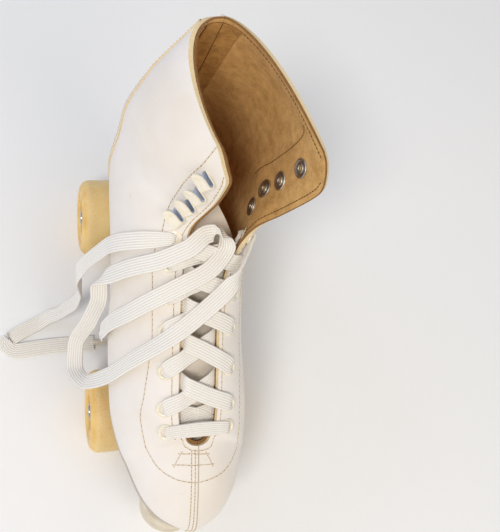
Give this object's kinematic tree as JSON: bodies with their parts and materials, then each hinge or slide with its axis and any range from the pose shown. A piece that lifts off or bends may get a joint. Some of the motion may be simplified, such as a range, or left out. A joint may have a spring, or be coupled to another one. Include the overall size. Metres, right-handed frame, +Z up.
{
  "type": "roller skate",
  "caption": "Quad roller skate for the right foot: a tall laced leather boot on a metal plate with sprung steering trucks, urethane wheels and a screw-in toe stop.",
  "frame": {"origin": "on the floor under the middle of the skate", "axes": "+X to the medial side, +Y to the heel, +Z up"},
  "size_m": [0.1695, 0.274, 0.2684],
  "materials": {
    "white_leather": "smooth coated",
    "brown_suede": "napped",
    "sole_leather": "edge-stained",
    "heel_leather": "painted",
    "enamelled_steel": "gloss",
    "nickel": "aged",
    "cotton_lace": "flat woven",
    "cast_aluminium": "satin",
    "plated_steel": "bright",
    "cushion_rubber": "moulded",
    "pivot_plastic": "moulded",
    "amber_urethane": "cast, clear",
    "cream_rubber": "moulded"
  },
  "bodies": {
    "boot_and_plate": {"quarter_lateral": "white_leather", "quarter_medial": "white_leather", "tongue": "white_leather", "lining_lateral": "brown_suede", "lining_medial": "brown_suede", "insole": "brown_suede", "outsole": "sole_leather", "heel_block": "heel_leather", "eyelets": "enamelled_steel", "lace_hooks": "enamelled_steel", "hook_rivets": "nickel", "lacing_lateral": "cotton_lace", "lacing_medial": "cotton_lace", "lace_end_lateral": "cotton_lace", "lace_end_medial": "cotton_lace", "lace_tips": "cotton_lace", "plate": "cast_aluminium", "mounting_bolts": "plated_steel", "tee_nuts": "plated_steel", "heel_screws": "plated_steel", "front_kingpin": "plated_steel", "rear_kingpin": "plated_steel", "kingpin_nuts": "plated_steel", "cushion_washers": "plated_steel", "toe_stop_lock_nut": "plated_steel", "front_upper_cushion": "cushion_rubber", "front_lower_cushion": "cushion_rubber", "rear_upper_cushion": "cushion_rubber", "rear_lower_cushion": "cushion_rubber", "pivot_cups": "pivot_plastic"},
    "front_truck": {"front_hanger": "cast_aluminium", "front_axle": "plated_steel", "front_axle_nuts": "plated_steel", "front_inner_races": "plated_steel", "front_bearing_spacers": "plated_steel"},
    "front_lateral_wheel_set": {"front_lateral_wheel": "amber_urethane", "front_lateral_bearings": "plated_steel"},
    "front_medial_wheel_set": {"front_medial_wheel": "amber_urethane", "front_medial_bearings": "plated_steel"},
    "rear_truck": {"rear_hanger": "cast_aluminium", "rear_axle": "plated_steel", "rear_axle_nuts": "plated_steel", "rear_inner_races": "plated_steel", "rear_bearing_spacers": "plated_steel"},
    "rear_lateral_wheel_set": {"rear_lateral_wheel": "amber_urethane", "rear_lateral_bearings": "plated_steel"},
    "rear_medial_wheel_set": {"rear_medial_wheel": "amber_urethane", "rear_medial_bearings": "plated_steel"},
    "toe_stop": {"toe_stop_pad": "cream_rubber", "toe_stop_stem": "plated_steel"}
  },
  "joints": [
    {"name": "front_truck_steer", "type": "hinge", "parent": "boot_and_plate", "child": "front_truck", "pos_m": [0, -0.023, 0.04], "axis": [0, -0.9848, 0.1736], "range_deg": [-7, 7], "stiffness_Nm_per_rad": 40, "deforming": ["front_upper_cushion", "front_lower_cushion"]},
    {"name": "front_lateral_wheel_spin", "type": "hinge", "parent": "front_truck", "child": "front_lateral_wheel_set", "pos_m": [-0.0395, -0.049, 0.029], "axis": [1, 0, 0], "continuous": true},
    {"name": "front_medial_wheel_spin", "type": "hinge", "parent": "front_truck", "child": "front_medial_wheel_set", "pos_m": [0.0395, -0.049, 0.029], "axis": [1, 0, 0], "continuous": true},
    {"name": "rear_truck_steer", "type": "hinge", "parent": "boot_and_plate", "child": "rear_truck", "pos_m": [0, 0.072, 0.04], "axis": [0, 0.9848, 0.1736], "range_deg": [-7, 7], "stiffness_Nm_per_rad": 40, "deforming": ["rear_upper_cushion", "rear_lower_cushion"]},
    {"name": "rear_lateral_wheel_spin", "type": "hinge", "parent": "rear_truck", "child": "rear_lateral_wheel_set", "pos_m": [-0.0395, 0.098, 0.029], "axis": [1, 0, 0], "continuous": true},
    {"name": "rear_medial_wheel_spin", "type": "hinge", "parent": "rear_truck", "child": "rear_medial_wheel_set", "pos_m": [0.0395, 0.098, 0.029], "axis": [1, 0, 0], "continuous": true},
    {"name": "toe_stop_adjust", "type": "slide", "parent": "boot_and_plate", "child": "toe_stop", "axis": [0, 0.2079, 0.9781], "range_m": [-0.006, 0.006]}
  ]
}
